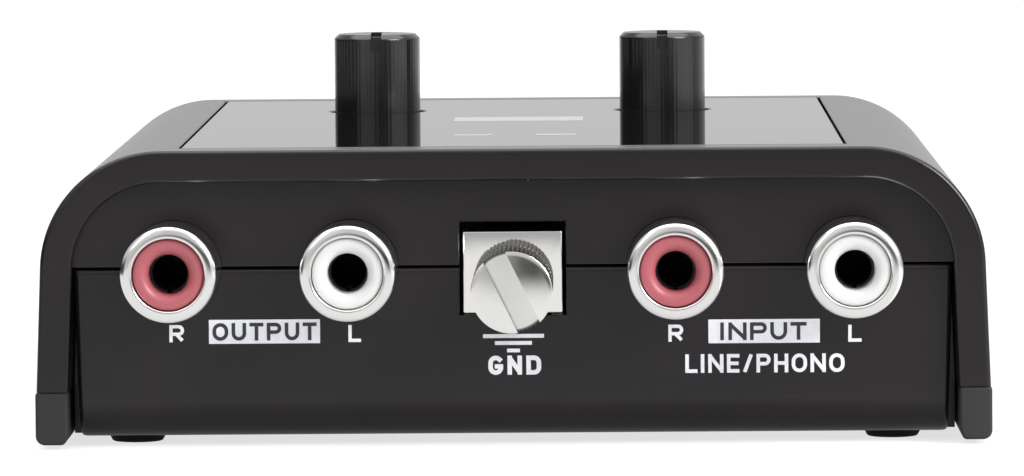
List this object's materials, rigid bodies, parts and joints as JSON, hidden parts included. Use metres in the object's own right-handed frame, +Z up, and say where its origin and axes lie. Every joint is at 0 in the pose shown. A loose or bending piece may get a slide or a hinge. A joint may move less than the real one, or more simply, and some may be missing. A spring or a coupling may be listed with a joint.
{
  "type": "phono preamp",
  "caption": "Small desktop phono preamp: black arched case, phono sockets and ground screw at the rear, two ribbed knobs on a glossy top plate.",
  "frame": {"origin": "centre of the bounding box in plan, on the table under the rubber feet", "axes": "+Z up, rear wall with the sockets faces -Y, front wall faces +Y"},
  "size_m": [0.0826, 0.102, 0.0333],
  "materials": {
    "case_plastic": "fine moulded texture, satin",
    "rail_rubber": "soft matte",
    "foot_rubber": "matte",
    "screw_steel": "bright zinc",
    "plate_gloss": "high gloss black",
    "knob_plastic": "satin, ribbed",
    "shaft_metal": "turned",
    "control_plastic": "moulded",
    "board_laminate": "green solder mask",
    "socket_plastic": "moulded",
    "socket_nickel": "bright nickel plate",
    "insert_red": "moulded red",
    "insert_white": "moulded white",
    "contact_brass": "tinned",
    "bracket_nickel": "polished nickel plate",
    "screw_nickel": "turned, nickel plated",
    "switch_steel": "tin plate",
    "button_plastic": "satin",
    "lamp_red": "tinted resin",
    "lens_clear": "clear moulded",
    "chip_plastic": "moulded epoxy",
    "capacitor_sleeve": "shrink sleeve",
    "capacitor_film": "dipped resin",
    "resistor_ceramic": "lacquered",
    "heatsink_aluminium": "extruded"
  },
  "bodies": {
    "case": {"upper_shell": "case_plastic", "lower_tray": "case_plastic", "left_side_rail": "rail_rubber", "right_side_rail": "rail_rubber", "rubber_feet": "foot_rubber", "case_screws": "screw_steel", "top_plate": "plate_gloss", "gain_potentiometer": "control_plastic", "level_potentiometer": "control_plastic", "circuit_board": "board_laminate", "board_screws": "screw_steel", "output_socket_block": "socket_plastic", "input_socket_block": "socket_plastic", "output_right_barrel": "socket_nickel", "output_left_barrel": "socket_nickel", "input_right_barrel": "socket_nickel", "input_left_barrel": "socket_nickel", "output_right_insert": "insert_red", "output_left_insert": "insert_white", "input_right_insert": "insert_red", "input_left_insert": "insert_white", "centre_contacts": "contact_brass", "ground_bracket": "bracket_nickel", "selector_body": "switch_steel", "power_switch_body": "control_plastic", "power_lamp": "lamp_red", "lamp_lens": "lens_clear", "power_inlet": "socket_plastic", "inlet_pin": "socket_nickel", "op_amps": "chip_plastic", "electrolytic_capacitors": "capacitor_sleeve", "film_capacitors": "capacitor_film", "resistors": "resistor_ceramic", "voltage_regulator": "chip_plastic", "regulator_heatsink": "heatsink_aluminium"},
    "gain_control": {"gain_knob": "knob_plastic", "gain_shaft": "shaft_metal"},
    "level_control": {"level_knob": "knob_plastic", "level_shaft": "shaft_metal"},
    "selector": {"selector_slider": "button_plastic"},
    "power_key": {"power_button": "button_plastic"},
    "ground_collar": {"ground_washer": "socket_nickel"},
    "ground_clamp": {"ground_screw": "screw_nickel"}
  },
  "joints": [
    {"name": "gain_turn", "type": "hinge", "parent": "case", "child": "gain_control", "pos_m": [-0.0135, 0.02405, 0.0258], "axis": [0, 0, 1], "range_deg": [-150, 150]},
    {"name": "level_turn", "type": "hinge", "parent": "case", "child": "level_control", "pos_m": [0.0135, 0.02405, 0.0258], "axis": [0, 0, 1], "range_deg": [-150, 150]},
    {"name": "selector_slide", "type": "slide", "parent": "case", "child": "selector", "axis": [1, 0, 0], "range_m": [0, 0.0025]},
    {"name": "power_press", "type": "slide", "parent": "case", "child": "power_key", "axis": [0, -1, 0], "range_m": [0, 0.0018], "stiffness_N_per_m": 500, "springref_m": -0.001},
    {"name": "ground_screw_travel", "type": "slide", "parent": "case", "child": "ground_collar", "axis": [0, -1, 0], "range_m": [0, 0.0035]},
    {"name": "ground_screw_turn", "type": "hinge", "parent": "ground_collar", "child": "ground_clamp", "pos_m": [0, -0.04585, 0.0139], "axis": [0, -1, 0], "range_deg": [0, 1800]}
  ],
  "couplings": [
    {"joint": "ground_screw_turn", "follows": "ground_screw_travel", "rad_per_m": 8976}
  ]
}
